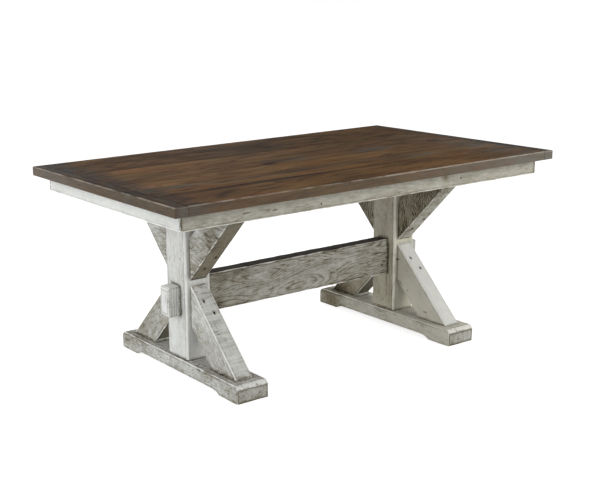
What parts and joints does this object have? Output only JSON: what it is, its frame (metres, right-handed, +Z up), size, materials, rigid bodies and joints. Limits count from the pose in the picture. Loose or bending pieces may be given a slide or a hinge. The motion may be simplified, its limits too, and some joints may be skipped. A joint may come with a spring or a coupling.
{
  "type": "trestle dining table",
  "caption": "Rectangular plank dining table with breadboard ends on braced trestles joined by a through-tenoned stretcher, dark stained top over a distressed white base.",
  "frame": {"origin": "on the floor, under the centre of the table", "axes": "+X along the table towards its right end, +Y across it towards the back, +Z up"},
  "size_m": [1.8288, 1.0668, 0.7874],
  "materials": {
    "stained_top": "stained and waxed, worn",
    "white_paint": "antique white paint on rough-sawn wood, rubbed through, dark glaze",
    "bare_wood": "unfinished",
    "dark_screws": "black oxide",
    "zinc_steel": "zinc plated"
  },
  "bodies": {
    "root": {"top_board_1": "stained_top", "top_board_2": "stained_top", "top_board_3": "stained_top", "top_board_4": "stained_top", "top_board_5": "stained_top", "top_board_6": "stained_top", "top_board_7": "stained_top", "breadboard_left": "stained_top", "breadboard_right": "stained_top", "apron_front": "white_paint", "apron_back": "white_paint", "apron_left": "white_paint", "apron_right": "white_paint", "foot_left": "white_paint", "foot_right": "white_paint", "post_left": "white_paint", "post_right": "white_paint", "lower_brace_left_front": "white_paint", "lower_brace_left_back": "white_paint", "lower_brace_right_front": "white_paint", "lower_brace_right_back": "white_paint", "upper_brace_left_front": "white_paint", "upper_brace_left_back": "white_paint", "upper_brace_right_front": "white_paint", "upper_brace_right_back": "white_paint", "stretcher": "white_paint", "bearer_left": "bare_wood", "bearer_right": "bare_wood", "corner_block_front_left": "bare_wood", "corner_block_front_right": "bare_wood", "corner_block_back_left": "bare_wood", "corner_block_back_right": "bare_wood", "lower_brace_screws": "dark_screws", "upper_brace_screws": "dark_screws", "foot_brace_screws": "dark_screws", "bearer_brace_screws": "dark_screws", "top_screws": "dark_screws", "apron_pocket_screws": "dark_screws", "corner_block_screws": "dark_screws", "post_lag_screws": "zinc_steel", "post_lag_washers": "zinc_steel"}
  },
  "joints": []
}
